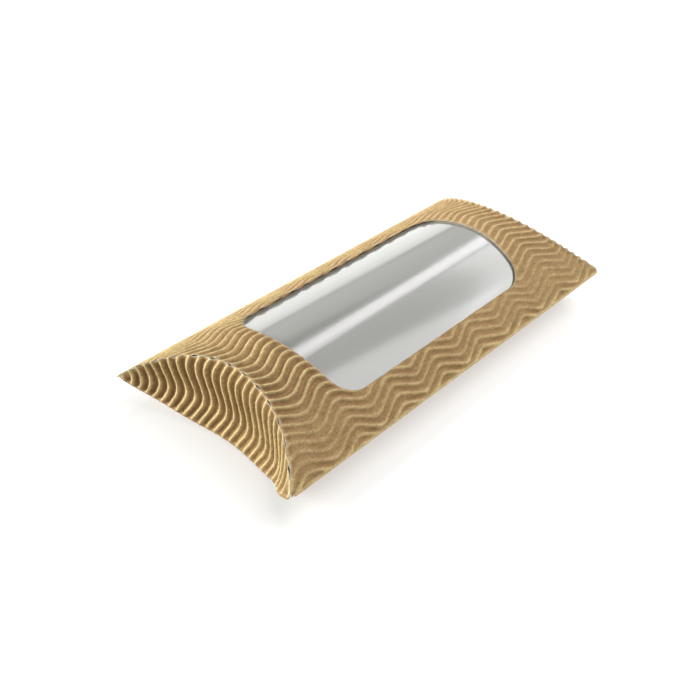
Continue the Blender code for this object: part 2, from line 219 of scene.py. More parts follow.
# Cut faces of the paper, pale as cut paper and paler still as a painted highlight on thin edges
CUT_EDGE_AND_HIGHLIGHT_COLOUR = (0.70, 0.62, 0.47)
RELIEF_STOPS = (0.0, 0.50, 1.0)
NOISE_STOPS = (0.30, 0.70)
KRAFT_GRAIN = (
    ((230, 3), ((0.91, 0.90, 0.88), (1.08, 1.09, 1.10))),
    ((900, 4), ((0.88, 0.87, 0.85), (1.10, 1.10, 1.11))),
    ((2600, 2), ((0.72, 0.70, 0.67), (1.26, 1.27, 1.29))))
FIBRE_NOISE = (1500, 4, (0.22, 1, 1))
FIBRE_TINTS = ((0.86, 0.85, 0.83), (1.12, 1.12, 1.13))
# Pale broken fibres and painted highlight, from darker to lighter fibres
BROKEN_FIBRES_AND_HIGHLIGHT = ((0.50, 0.44, 0.34), (0.78, 0.74, 0.66))
FINE_BUMP = (0.30, 0.0001)
FILM_STREAKS = (190, 3, (0.05, 1, 1))
FILM_BUMP = (0.22, 0.0004)
GLUE_CLOUDS = (420, 4)
GLUE_COLOURS = ((0.70, 0.67, 0.58), (0.90, 0.88, 0.82))

# Colour sockets of a mix node, by number because other sockets have the same names
MIX_FIRST, MIX_SECOND, MIX_RESULT = 6, 7, 2

# Camera, as fitted to the photograph: azimuth, elevation and roll are in degrees
CAMERA_PLACE = (-0.27277, -0.19856, 0.24625)
CAMERA_ANGLES = (-51.936, 36.589, 4.685)
FOCAL_PIXELS = 1001.42
PHOTO_PIXELS = 700
SENSOR = 36
CLIP_START = 0.01

# Studio. Each light has a name, a place, the place it faces, a width, a height, a power, the
# direction that its width is square to, and a colour if it isn't white
UPRIGHT = (0, 0, 1)
SIDEWAYS = (0, 1, 0)
LIGHTS = (
    ("left_key", (-0.84, 0.92, 0.30), (0, 0, 0.02), 0.5, 0.5, 24.0, UPRIGHT, (0.965, 1.0, 0.955)),
    ("overhead", (0.45, -0.45, 1.35), (0, 0, 0), 1.3, 1.3, 14.9, UPRIGHT),
    ("band_in_film", (1.02, 0.451, 0.920), (1.02, -0.008, 0.032), 1.6, 0.18, 5.4, SIDEWAYS,
     (0.99, 0.975, 1.0)),
    ("panel_over_band", (1.00, 1.02, 0.80), (0.05, 0, 0.03), 1.3, 0.45, 1.9, UPRIGHT),
    ("low_back_panel", (1.10, 1.05, 0.26), (0.1, 0, 0.03), 1.1, 0.50, 4.2, UPRIGHT),
    ("panel_under_band", (0.80, -0.20, 1.00), (0.80, -0.20, 0), 0.60, 1.10, 2.9, SIDEWAYS),
    ("far_panel", (1.45, -0.20, 1.00), (1.45, -0.20, 0), 0.70, 1.10, 11.5, SIDEWAYS))
FLOOR_REACH = 5.0
FLOOR_DROP = 0.0001
FLOOR_GREY = (0.50, 0.50, 0.50, 1)
FLOOR_GLOW = (0.52, 1.0)
FLOOR_GLOW_REACH = (0.8, 2.5)
BACKDROP_RADIUS = 4.5
BACKDROP_FOOT = 0.01
BACKDROP_HEIGHT = 2.4
BACKDROP_SIDES = 64
WORLD_LIGHT = 0.075

# Worked out from the sizes above
HALF_LENGTH = BOX_LENGTH / 2
HALF_WIDTH = BOX_WIDTH / 2
SIDE_HEIGHT = BELLY_DROP
TOP_RADIUS = (HALF_WIDTH ** 2 + TOP_RISE ** 2) / (2 * TOP_RISE)
TOP_SLOPE = math.asin(HALF_WIDTH / TOP_RADIUS)
TOP_HALF = TOP_RADIUS * TOP_SLOPE
BELLY_REST = HALF_WIDTH - BELLY_FLAT / 2
BELLY_RADIUS = (BELLY_REST ** 2 + BELLY_DROP ** 2) / (2 * BELLY_DROP)
BELLY_SLOPE = math.asin(BELLY_REST / BELLY_RADIUS)
BOTTOM_HALF = BELLY_FLAT / 2 + BELLY_RADIUS * BELLY_SLOPE
LEAN = (TOP_CREASE_REACH - BOTTOM_CREASE_REACH) / (TOP_RISE + BELLY_DROP)
SIDE_REACH = TOP_CREASE_REACH - LEAN * TOP_RISE
WALL_STEP = math.sqrt(1 + LEAN ** 2)
INNER_FLAP_DEPTH = BOARD + FLAP_GAP
WEDGE = (TOP_SLOPE + BELLY_SLOPE) / 2  # half the angle between the panels at a side crease
FOLD_SPAN = BOARD / math.tan(WEDGE)
TOP_EDGE = TOP_HALF - FOLD_SPAN
BOTTOM_EDGE = BOTTOM_HALF - FOLD_SPAN


# Sections and end walls, on arrays

def ease(value, start, reach):
    """0 up to start, 1 from one reach beyond it, and a smooth rise between."""
    share = np.clip((value - start) / reach, 0, 1)
    return share * share * (3 - 2 * share)


def top_section(s, depth):
    angle = s / TOP_RADIUS
    radius = TOP_RADIUS - depth
    return radius * np.sin(angle), radius * np.cos(angle) - TOP_RADIUS + TOP_RISE + SIDE_HEIGHT


def top_height(y, depth):
    return np.sqrt((TOP_RADIUS - depth) ** 2 - y ** 2) - TOP_RADIUS + TOP_RISE + SIDE_HEIGHT


def bottom_section(s, depth):
    beyond = np.maximum(np.abs(s) - BELLY_FLAT / 2, 0)
    angle = beyond / BELLY_RADIUS
    radius = BELLY_RADIUS - depth
    y = np.sign(s) * (np.minimum(np.abs(s), BELLY_FLAT / 2) + radius * np.sin(angle))
    return y, BELLY_RADIUS - radius * np.cos(angle)


def bottom_height(y, depth):
    beyond = np.maximum(np.abs(y) - BELLY_FLAT / 2, 0)
    return BELLY_RADIUS - np.sqrt((BELLY_RADIUS - depth) ** 2 - beyond ** 2)


def wall_normal(y):
    """Inward normal of the near end wall."""
    bow_slope = -y / np.sqrt(TOP_RADIUS ** 2 - y ** 2) / TOP_RISE
    across = -SIDE_REACH * bow_slope
    length = np.sqrt(1 + across ** 2 + LEAN ** 2)
    return 1 / length, across / length, -LEAN / length


def wall_reach(y, z, depth):
    """How far an end wall stands back from the carton's end, at a depth in its board."""
    bow = (top_height(y, 0) - SIDE_HEIGHT) / TOP_RISE
    return SIDE_REACH * bow + LEAN * (z - SIDE_HEIGHT) + depth / wall_normal(y)[0]


def top_crease(s):
    return HALF_LENGTH - wall_reach(*top_section(s, 0), 0)


def bottom_crease(s):
    return HALF_LENGTH - wall_reach(*bottom_section(s, 0), INNER_FLAP_DEPTH)


# Flutes

def wave(x):
    """Swing of the flutes: near sine waves at the near end, zigzags further along."""
    turn = math.pi * np.interp(x, WAVE_CRESTS_AND_TROUGHS, np.arange(len(WAVE_CRESTS_AND_TROUGHS)))
    sharpness = LEAST_SHARPNESS + ADDED_SHARPNESS * ease(x, *SHARP_SPAN)
    return WAVE_SWING * np.arcsin(sharpness * np.cos(turn)) / np.arcsin(sharpness)


def ripple(place, x, along, across, start):
    return np.sin(2 * math.pi * (x / along + place / across) + start)


def wander(place, x):
    return sum(amount * ripple(place, x, *waves) for amount, *waves in WANDER)


def flute_profile(phase):
    """0 on a crest and 1 in a valley, for a phase in pitches."""
    off = np.abs(phase - np.round(phase)) / CREST_SHARE
    return 1 - np.cos(np.minimum(off, 1) * math.pi / 2) ** CREST_ROUND


def flute_places(half, stops):
    count = math.ceil((half + WAVE_SWING) / FLUTE_PITCH) + 1
    return np.array([(k + stop) * FLUTE_PITCH for k in range(-count, count + 1) for stop in stops])


def even_places(half):
    count = math.ceil(2 * half / FLAT_COLUMNS)
    return np.linspace(-half, half, count + 1)


def slit(s):
    """1 at the middle of a cut in a perforated crease, 0 between the cuts."""
    place = s / SLIT_SPACING - 0.5
    off = (place - np.round(place)) * SLIT_SPACING
    fade = np.clip((SLIT_END - np.abs(s)) / SLIT_FADE, 0, 1)
    return fade * np.sqrt(np.clip(1 - (2 * off / SLIT_LENGTH) ** 2, 0, 1))


class Sheet:
    """One paper of the board, laid out on the blank and bent into place.

    place(s, x, depth) bends it, limits(s, depth) gives its ends, half(depth) is its half width, and
    folds says which of its two ends are creased. The creases of a perforated sheet have slits, and
    window marks the panel that has one.
    """

    def __init__(self, place, limits, half, folds, perforated=False, window=False):
        self.place = place
        self.limits = limits
        self.half = half
        self.folds = folds
        self.perforated = perforated
        self.window = window

    def rows(self, spacing):
        """Rows along the sheet: share of its length, turn at the low end, turn at the high end."""
        low, high = self.limits(np.array(0.0), 0.0)
        length = float(high - low)
        start, finish = (END_ROWS if fold else FREE_END_ROWS for fold in self.folds)
        inner = np.linspace(0, 1, round(length / spacing) + 1)
        inner = inner[inner * length > start[-1] + spacing / 2]
        inner = inner[(1 - inner) * length > finish[-1] + spacing / 2]
        shares = [0.0, *(e / length for e in start), *inner,
                  *(1 - e / length for e in reversed(finish)), 1.0]
        rows = [(share, 0.0, 0.0) for share in shares]
        if self.folds[0]:
            rows = [(0.0, turn, 0.0) for turn in FOLD_TURNS] + rows
        if self.folds[1]:
            rows = rows + [(1.0, 0.0, turn) for turn in reversed(FOLD_TURNS)]
        return np.array(rows)

    def solve(self, columns, rows, relief, sink, waved):
        """One face of the paper: s, x, depth, depth of the relief and share of pale fibres and
        painted highlight.

        The ends, the wave and the relief depend on one another, so they are found step by step.
        """
        column = columns[None, :]
        share, turn_low, turn_high = (rows[:, k, None] for k in range(3))
        fold_low, fold_high = self.folds
        s = column + 0 * share
        depth = 0 * s
        for _ in range(SOLVE_STEPS):
            under = depth + sink
            half = self.half(under)
            s = np.clip(s, -half, half)
            low, high = self.limits(s, under)
            if self.perforated:
                low = low + fold_low * SLIT_WIDTH * slit(s)
                high = high - fold_high * SLIT_WIDTH * slit(s)
            radius = FOLD_RADIUS * (1 - TIP_TIGHTNESS * ease(np.abs(s), *TIGHT_SPAN))
            rounding = np.maximum(radius - under, TIGHT_RADIUS)
            round_low, round_high = fold_low * rounding, fold_high * rounding
            first, last = low + round_low, high - round_high
            x = first + share * (last - first)
            x = x - round_low * np.sin(turn_low) + round_high * np.sin(turn_high)
            shift = waved * (wave(x) + wander(column, x))
            s = np.clip(column + shift, -half, half)
            ends = ((fold_low, x - low), (fold_high, high - x))
            to_fold = np.minimum(*(away if fold else FAR_AWAY for fold, away in ends))
            to_cut = np.minimum(*(FAR_AWAY if fold else away for fold, away in ends))
            to_side = half - np.abs(s)
            if self.window:
                gap = outline_gap(np.stack([x, top_section(s, 0)[0]], -1), 0)[0]
                to_cut = gap + CUT_REACH / 2 * ease(s, *BACK_SPAN)
            depth = relief((s - shift) / FLUTE_PITCH, to_fold, to_side, to_cut)
            if self.window and waved:
                flat = (1 - unpressed(s, x)) * ease(np.minimum(to_fold, to_side), 0, PRESS_FADE)
                depth = depth + flat * (VALLEY_DEPTH / 2 - depth)
        bend = round_low * (1 - np.cos(turn_low)) + round_high * (1 - np.cos(turn_high))
        pale = np.zeros_like(s)
        if self.perforated:
            # Pale along the fold and round the slits: broken fibres, and a painted highlight on the
            # slits' lips
            bend = bend - SLIT_LIP * slit(s) * np.clip(1 - to_fold / SLIT_LIP_REACH, 0, 1)
            pale = np.maximum(1 - to_fold / PALE_FOLD, 0)
            pale = np.maximum(pale, slit(s) * (1 - to_fold / PALE_SLIT))
        # Pale round the window's edge: broken fibres, and a painted highlight along that edge
        if self.window:
            pale = np.maximum(pale, PALE_CUT_SHARE * np.clip(1 - gap / PALE_CUT, 0, 1))
        return s, x, depth + sink + bend, depth, pale


def unpressed(s, x):
    """Share of their height that the top panel's flutes keep where the board has been pressed."""
    far = FAR_PRESS * ease(x, *FAR_SPAN)
    corner = CORNER_PRESS * ease(-x, *CORNER_SPAN_X) * ease(-s, *CORNER_SPAN_Y)
    return (1 - far) * (1 - corner) * (1 - FRONT_PRESS * ease(-s, *FRONT_SPAN))


def fluted_relief(phase, to_fold, to_side, to_cut):
    """Depth of the fluted paper's outer face, with the flutes crushed along creases and cuts."""
    from_tip = ease(to_side, 0, TIP_CRUSH_REACH)
    fold = ease(to_fold, 0, CRUSH_REACH + TIP_CRUSH_WIDTH * (1 - from_tip))
    side = ease(to_side, 0, SIDE_CRUSH_REACH)
    cut = ease(to_cut, 0, CUT_REACH)
    share = CRUSHED_SHARE * from_tip
    share = share + (1 - share) * fold
    share = share * (SIDE_CRUSH_SHARE + (1 - SIDE_CRUSH_SHARE) * side)
    share = share * (CUT_SHARE + (1 - CUT_SHARE) * cut)
    pressed_to = np.maximum(CRUSHED_LEVEL * (1 - fold), CUT_LEVEL * (1 - cut))
    return pressed_to + (VALLEY_DEPTH * flute_profile(phase) - pressed_to) * share


def flat_relief(depth):
    def relief(phase, to_fold, to_side, to_cut):
        return depth + 0 * phase
    return relief


# Places of the sheets

def panel_place(section):
    def place(s, x, depth):
        y, z = section(s, depth)
        return np.stack([x + 0 * y, y, z], -1)
    return place


def panel_limits(section, wall_depth):
    """A layer of a panel ends where it meets the same layer of the flap creased to it."""
    def limits(s, depth):
        end = HALF_LENGTH - wall_reach(*section(s, depth), wall_depth + depth) - CREASE_GAP / 2
        return -end, end
    return limits


def film_limits(s, depth):
    reach = FAR_WINDOW_END[0] + FILM_LAP + FILM_MARGIN
    return -reach + 0 * s, reach + 0 * s


def flare(end, y):
    """How much a corner of the flap springs outward: most at the corner nearest the camera."""
    amount = np.where(y < 0, NEAR_FRONT_FLARE, NEAR_BACK_FLARE) if end < 0 else FAR_FLARE
    return amount * ease(np.abs(y), FLARE_START, FLARE_END - FLARE_START)


def outer_flap_place(end):
    """The flap hangs from its crease, turned outward there by the flare of its corners."""
    def place(s, x, depth):
        y, z = top_section(s, 0)
        turn = FLARE_TURN * flare(end, y) + FREE_EDGE_TURN * ease(-y, *TURN_SPAN) * (end < 0)
        along = np.abs(x) - top_crease(s) - TURN_SLIP * turn * depth
        in_x, in_y, in_z = wall_normal(y)
        cos, sin = np.cos(turn), np.sin(turn)
        run = LEAN / WALL_STEP
        out_x = (run * cos + in_x * sin) * along - (in_x * cos - run * sin) * depth
        out_y = in_y * (cos * depth - sin * along)
        out_z = (in_z * cos - sin / WALL_STEP) * depth - (cos / WALL_STEP + in_z * sin) * along
        from_middle = HALF_LENGTH - wall_reach(y, z, 0) + out_x
        return np.stack([end * from_middle, y + out_y, z + out_z], -1)
    return place


def inner_flap_place(end):
    """The flap stands on its crease, behind the outer flap and parallel to it."""
    def place(s, x, depth):
        y, z = bottom_section(s, 0)
        z = z + (np.abs(x) - bottom_crease(s)) / WALL_STEP
        normal = wall_normal(y)
        sunk = INNER_FLAP_DEPTH + depth
        from_middle = HALF_LENGTH - wall_reach(y, z, 0) - normal[0] * sunk
        return np.stack([end * from_middle, y + normal[1] * sunk, z + normal[2] * sunk], -1)
    return place


def signed(end, near, far):
    return (near, far) if end > 0 else (-far, -near)


def outer_flap_limits(end):
    def limits(s, depth):
        y, z = top_section(s, 0)
        normal = wall_normal(y)
        roof = top_height(y + normal[1] * depth, depth) - CREASE_GAP / 2 - normal[2] * depth
        drop = FREE_EDGE_DROP * ease(-y, *DROP_SPAN) * (end < 0)
        tip = z - TIP_HEIGHT - TIP_FLARE * flare(end, y)
        edge = np.minimum(bottom_height(y, 0) + EDGE_LIFT - drop, tip)
        crease = top_crease(s)
        return signed(end, crease + (z - roof) * WALL_STEP, crease + (z - edge) * WALL_STEP)
    return limits


def inner_flap_limits(end):
    def limits(s, depth):
        y, z = bottom_section(s, 0)
        normal = wall_normal(y)
        sunk_y = y + normal[1] * (INNER_FLAP_DEPTH + depth)
        sink = normal[2] * (INNER_FLAP_DEPTH + depth)
        floor = bottom_height(sunk_y, depth) + CREASE_GAP / 2 - sink
        roof = top_height(sunk_y, BOARD) - EDGE_LIFT
        edge = np.minimum(SIDE_HEIGHT + TOP_RISE - INNER_FLAP_CUT, roof) - sink
        crease = bottom_crease(s)
        return signed(end, crease + (floor - z) * WALL_STEP, crease + (edge - z) * WALL_STEP)
    return limits


def tip_half(limits, widest):
    """Half width of a flap at each depth: as far as the board still has some height there."""
    depths = np.linspace(0, 2 * BOARD, TIP_DEPTHS)
    places = np.linspace(0, widest, TIP_PLACES)
    halves = []
    for depth in depths:
        low, high = limits(places, depth)
        halves.append(places[np.nonzero(high - low > LEAST_FLAP)[0][-1]])

    def half(depth):
        return np.interp(depth, depths, halves)
    return half


# Window outline

def outline_gap(points, margin):
    """Distance outside the window's outline, seen from above, and the way out of it."""
    local = points[..., :2] - np.array((0, WINDOW_MIDDLE_Y))
    far = local[..., 0] > 0
    reach_x, crown_y, curve = (np.where(far, b, a) for a, b in zip(NEAR_WINDOW_END, FAR_WINDOW_END))
    off_crown = np.clip(points[..., 1], -WINDOW_END_CLIP, WINDOW_END_CLIP) - crown_y
    reach_x = np.abs(reach_x) - curve * off_crown ** 2
    off = np.abs(local) + WINDOW_CORNER
    off[..., 0] -= reach_x
    off[..., 1] -= WINDOW_WIDTH / 2
    outside = np.maximum(off, 0)
    reach = np.linalg.norm(outside, axis=-1)
    inner = np.minimum(off.max(-1), 0)
    gap = reach + inner - (WINDOW_CORNER + margin)
    steer = np.where((off[..., 0] > off[..., 1])[..., None], (1.0, 0.0), (0.0, 1.0))
    way = np.where(reach[..., None] > TINY, outside / np.maximum(reach, TINY)[..., None], steer)
    return gap, way * np.sign(local)


def on_top(flat, depth):
    return np.stack([flat[:, 0], flat[:, 1], top_height(flat[:, 1], depth)], -1)


def snap_to_outline(points, depth, margin):
    """The points moved straight across to the outline, still at their depth in the top panel."""
    flat = points[:, :2].copy()
    for _ in range(SNAP_STEPS):
        gap, way = outline_gap(flat, margin)
        flat -= gap[:, None] * way
    return on_top(flat, depth)


# Meshes

def grid_quads(rows, columns):
    first = (np.arange(rows - 1)[:, None] * columns + np.arange(columns - 1)[None, :]).ravel()
    return np.stack([first, first + 1, first + columns + 1, first + columns], -1)


def ring(count):
    """Angles of the places round a ring, the places' numbers, and the next place of each."""
    here = np.arange(count)
    return np.linspace(0, 2 * math.pi, count + 1)[:-1], here, (here + 1) % count


def boundary_edges(quads, count):
    edges = np.stack([quads, np.roll(quads, -1, 1)], -1).reshape(-1, 2)
    edges = edges[edges[:, 0] != edges[:, 1]]
    forward = edges[:, 0].astype(np.int64) * count + edges[:, 1]
    back = edges[:, 1].astype(np.int64) * count + edges[:, 0]
    return edges[~np.isin(forward, back)]


def weld(points, quads):
    """Joins points that lie together and drops the faces that vanish."""
    keys = np.round(points * WELD_STEPS).astype(np.int64)
    _, index, inverse = np.unique(keys, axis=0, return_index=True, return_inverse=True)
    quads = index[inverse.reshape(-1)][quads]
    distinct = np.array([len(set(quad)) for quad in quads.tolist()])
    return quads[distinct > 2]


def shell_faces(quads, count, flip):
    """Both faces of a thin sheet, and the strips that close it along its edges."""
    edges = boundary_edges(quads, count)
    sides = np.stack([edges[:, 1], edges[:, 0], edges[:, 0] + count, edges[:, 1] + count], -1)
    faces = quads.tolist() + (quads[:, ::-1] + count).tolist()
    sides = sides.tolist()
    if flip:
        faces = [face[::-1] for face in faces]
        sides = [face[::-1] for face in sides]
    return faces, sides


def add_object(name, data):
    added = bpy.data.objects.new(name, data)
    bpy.context.scene.collection.objects.link(added)
    return added


def mesh_object(name, points, faces, material, marks=None, cut_faces=()):
    """A smooth piece with values per point. Its cut faces, if any, are pale: a cut edge with a
    painted highlight.

    Of faces on the same points only the first is kept, where validate() would keep any one of them.
    """
    used = np.unique(np.concatenate([np.asarray(face) for face in faces]))
    renumber = np.full(len(points), -1)
    renumber[used] = np.arange(len(used))
    clean, slots, seen = [], [], set()
    for slot, group in enumerate((faces, cut_faces)):
        for face in group:
            loop = [int(renumber[v]) for k, v in enumerate(face) if v != face[k - 1]]
            corners = tuple(sorted(loop))
            if len(loop) > 2 and corners not in seen:
                seen.add(corners)
                clean.append(loop)
                slots.append(slot)
    mesh = bpy.data.meshes.new(name)
    mesh.from_pydata(points[used].tolist(), [], clean)
    mesh.materials.append(material)
    if cut_faces:
        mesh.materials.append(CUT_EDGE_AND_HIGHLIGHT)
    mesh.polygons.foreach_set("material_index", slots)
    mesh.validate()
    for mark, values in (marks or {}).items():
        attribute = mesh.attributes.new(mark, "FLOAT", "POINT")
        attribute.data.foreach_set("value", values[used].astype(np.float32))
    mesh.shade_smooth()
    mesh.set_sharp_from_angle(angle=SHARP_ANGLE)
    return add_object(name, mesh)


def sheet_object(name, sheet, material, relief, thickness, columns, spacing, flip,
                 waved=False, window=None):
    """A closed thin sheet. window is None, "cut" for a hole or "keep" for the part inside one."""
    rows = sheet.rows(spacing)
    s, x, depth, level, pale = sheet.solve(columns, rows, relief, 0, waved)
    s_in, x_in, depth_in = sheet.solve(columns, rows, relief, thickness, waved)[:3]
    outer = sheet.place(s, x, depth).reshape(-1, 3)
    inner = sheet.place(s_in, x_in, depth_in).reshape(-1, 3)
    quads = grid_quads(len(rows), len(columns))
    if window:
        margin = 0 if window == "cut" else FILM_LAP
        gap, _ = outline_gap(outer, margin)
        hidden = gap < 0 if window == "cut" else gap > 0
        quads = quads[~hidden[quads].all(1)]
        picked = np.unique(quads[hidden[quads]])
        for points, deep in ((outer, depth), (inner, depth_in)):
            points[picked] = snap_to_outline(points[picked], deep.ravel()[picked], margin)
    faces, sides = shell_faces(weld(outer, quads), len(outer), flip)
    if material is FILM:
        faces, sides = faces + sides, ()
    # The relief mark: low in the flute valleys, where the colour ramp paints shade
    crest = 1 - level.ravel() / VALLEY_DEPTH
    marks = {"relief": np.tile(crest, 2), "pale": np.tile(pale.ravel(), 2)}
    return mesh_object(name, np.concatenate([outer, inner]), faces, material, marks, sides)


# Materials

def node_material(name, values):
    """A new material with these constants on its shader: the material, its tree and the shader."""
    material = bpy.data.materials.new(name)
    material.use_nodes = True
    tree = material.node_tree
    shader = tree.nodes["Principled BSDF"]
    for socket, value in values.items():
        shader.inputs[socket].default_value = value
    return material, tree, shader


def add_noise(tree, coordinates, scale, detail, stretch=(1, 1, 1)):
    mapping = tree.nodes.new("ShaderNodeMapping")
    mapping.inputs["Scale"].default_value = stretch
    noise = tree.nodes.new("ShaderNodeTexNoise")
    noise.inputs["Scale"].default_value = scale
    noise.inputs["Detail"].default_value = detail
    tree.links.new(coordinates.outputs["Object"], mapping.inputs["Vector"])
    tree.links.new(mapping.outputs["Vector"], noise.inputs["Vector"])
    return noise.outputs["Fac"]


def add_ramp(tree, factor, positions, colours):
    ramp = tree.nodes.new("ShaderNodeValToRGB")
    elements = ramp.color_ramp.elements
    while len(elements) < len(positions):
        elements.new(0.5)
    for element, position, colour in zip(elements, positions, colours):
        element.position = position
        element.color = (*colour, 1)
    tree.links.new(factor, ramp.inputs["Fac"])
    return ramp.outputs["Color"]


def mix_colours(tree, first, second, blend, factor=None):
    """The second colour over the first, in full or by a factor."""
    mix = tree.nodes.new("ShaderNodeMix")
    mix.data_type = "RGBA"
    mix.blend_type = blend
    if factor is None:
        mix.inputs["Factor"].default_value = 1.0
    else:
        tree.links.new(factor, mix.inputs["Factor"])
    tree.links.new(first, mix.inputs[MIX_FIRST])
    tree.links.new(second, mix.inputs[MIX_SECOND])
    return mix.outputs[MIX_RESULT]


def add_bump(tree, shader, height, strength, distance):
    bump = tree.nodes.new("ShaderNodeBump")
    bump.inputs["Strength"].default_value = strength
    bump.inputs["Distance"].default_value = distance
    tree.links.new(height, bump.inputs["Height"])
    tree.links.new(bump.outputs["Normal"], shader.inputs["Normal"])


def read_mark(tree, name):
    attribute = tree.nodes.new("ShaderNodeAttribute")
    attribute.attribute_name = name
    return attribute.outputs["Fac"]


def kraft(name, valley, slope, crest, roughness):
    """Unbleached kraft paper: fibres along the box, mottling, grain, painted shade in the flute
    valleys below paler crests, and creases paler with broken fibres and a painted highlight.
    """
    material, tree, shader = node_material(name, {
        "Roughness": roughness, "Specular IOR Level": 0.25})
    coordinates = tree.nodes.new("ShaderNodeTexCoord")
    # Painted shade: the colour runs from dark in the flute valleys to pale on the crests, by the
    # relief mark
    colour = add_ramp(tree, read_mark(tree, "relief"), RELIEF_STOPS, (valley, slope, crest))
    fibres = add_noise(tree, coordinates, *FIBRE_NOISE)
    layers = [(add_noise(tree, coordinates, *noise), tints) for noise, tints in KRAFT_GRAIN]
    for noise, tints in (*layers, (fibres, FIBRE_TINTS)):
        grain = add_ramp(tree, noise, NOISE_STOPS, tints)
        colour = mix_colours(tree, colour, grain, "MULTIPLY")
    # Pale broken fibres and painted highlight, where the pale mark is
    pale_fibres_and_highlight = add_ramp(tree, fibres, (0.0, 1.0), BROKEN_FIBRES_AND_HIGHLIGHT)
    colour = mix_colours(tree, colour, pale_fibres_and_highlight, "MIX", read_mark(tree, "pale"))
    tree.links.new(colour, shader.inputs["Base Color"])
    add_bump(tree, shader, fibres, *FINE_BUMP)
    return material


def clear_film():
    """Clear glossy film, a little grey and streaked along the box."""
    material, tree, shader = node_material("clear_film_look", {
        "Base Color": (0.305, 0.306, 0.280, 1),
        "Roughness": 0.165,
        "Specular IOR Level": 1.0,
        "Coat Weight": 0.5,
        "Coat Roughness": 0.09,
        "Alpha": 0.78})
    coordinates = tree.nodes.new("ShaderNodeTexCoord")
    add_bump(tree, shader, add_noise(tree, coordinates, *FILM_STREAKS), *FILM_BUMP)
    return material


def dried_glue():
    """Milky dried glue, cloudy and slightly uneven."""
    material, tree, shader = node_material("dried_glue_look", {"Roughness": 0.45})
    coordinates = tree.nodes.new("ShaderNodeTexCoord")
    clouds = add_noise(tree, coordinates, *GLUE_CLOUDS)
    tree.links.new(add_ramp(tree, clouds, NOISE_STOPS, GLUE_COLOURS), shader.inputs["Base Color"])
    add_bump(tree, shader, clouds, *FINE_BUMP)
    return material


FLUTED = kraft("fluted_kraft_with_painted_shade", *FLUTE_COLOURS_WITH_VALLEY_SHADE, 0.75)
SMOOTH = kraft("smooth_kraft", LINER_COLOUR, LINER_COLOUR, LINER_COLOUR, 0.7)
CUT_EDGE_AND_HIGHLIGHT = kraft("cut_kraft_and_highlight", CUT_EDGE_AND_HIGHLIGHT_COLOUR, CUT_EDGE_AND_HIGHLIGHT_COLOUR, CUT_EDGE_AND_HIGHLIGHT_COLOUR, 0.8)
FILM = clear_film()
GLUE = dried_glue()


# Pieces

def dress(piece, node, body):
    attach(piece, body)
    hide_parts(node)


def build_board(name, node, body, sheet, widest, spacing, stops, flip, window=None):
    """The fluted paper and the liner of one panel or flap."""
    fluting = sheet_object(name + "_flute_paper", sheet, FLUTED, fluted_relief, FLUTE_PAPER,
                           flute_places(widest, stops), spacing, flip, waved=True, window=window)
    dress(fluting, node + "_fluting", body)
    relief = flat_relief(LINER_DEPTH)
    liner = sheet_object(name + "_liner_paper", sheet, SMOOTH, relief, LINER_PAPER,
                         even_places(widest), spacing, flip, window=window)
    dress(liner, node + "_liner", body)


def build_top():
    sheet = Sheet(panel_place(top_section), panel_limits(top_section, 0), lambda depth: TOP_EDGE,
                  (True, True), perforated=True, window=True)
    build_board("top", "top_panel", "carton", sheet, TOP_EDGE, TOP_ROWS, FLUTE_STOPS,
                flip=True, window="cut")


def build_bottom():
    sheet = Sheet(panel_place(bottom_section), panel_limits(bottom_section, INNER_FLAP_DEPTH),
                  lambda depth: BOTTOM_EDGE, (True, True))
    build_board("bottom", "bottom_panel", "carton", sheet, BOTTOM_EDGE, BOTTOM_ROWS, FEW_STOPS,
                flip=False)


def build_film():
    sheet = Sheet(panel_place(top_section), film_limits, lambda depth: FILM_HALF, (False, False))
    film = sheet_object("window_sheet", sheet, FILM, flat_relief(BOARD + FILM_GAP), FILM_THICKNESS,
                        even_places(FILM_HALF), FILM_ROWS, flip=True, window="keep")
    dress(film, "window_film", "carton")


def build_outer_flap(name, end):
    limits = outer_flap_limits(end)
    sheet = Sheet(outer_flap_place(end), limits, tip_half(limits, TOP_EDGE), (end > 0, end < 0),
                  perforated=True)
    build_board(name, name, name, sheet, TOP_EDGE, OUTER_FLAP_ROWS, FLUTE_STOPS, flip=True)


def build_inner_flap(name, end):
    limits = inner_flap_limits(end)
    tip_angle = math.asin((INNER_TIP_Y - BELLY_FLAT / 2) / BELLY_RADIUS)
    widest = BELLY_FLAT / 2 + BELLY_RADIUS * tip_angle
    sheet = Sheet(inner_flap_place(end), limits, tip_half(limits, widest), (end > 0, end < 0))
    build_board(name, name, name, sheet, widest, INNER_FLAP_ROWS, FEW_STOPS, flip=False)


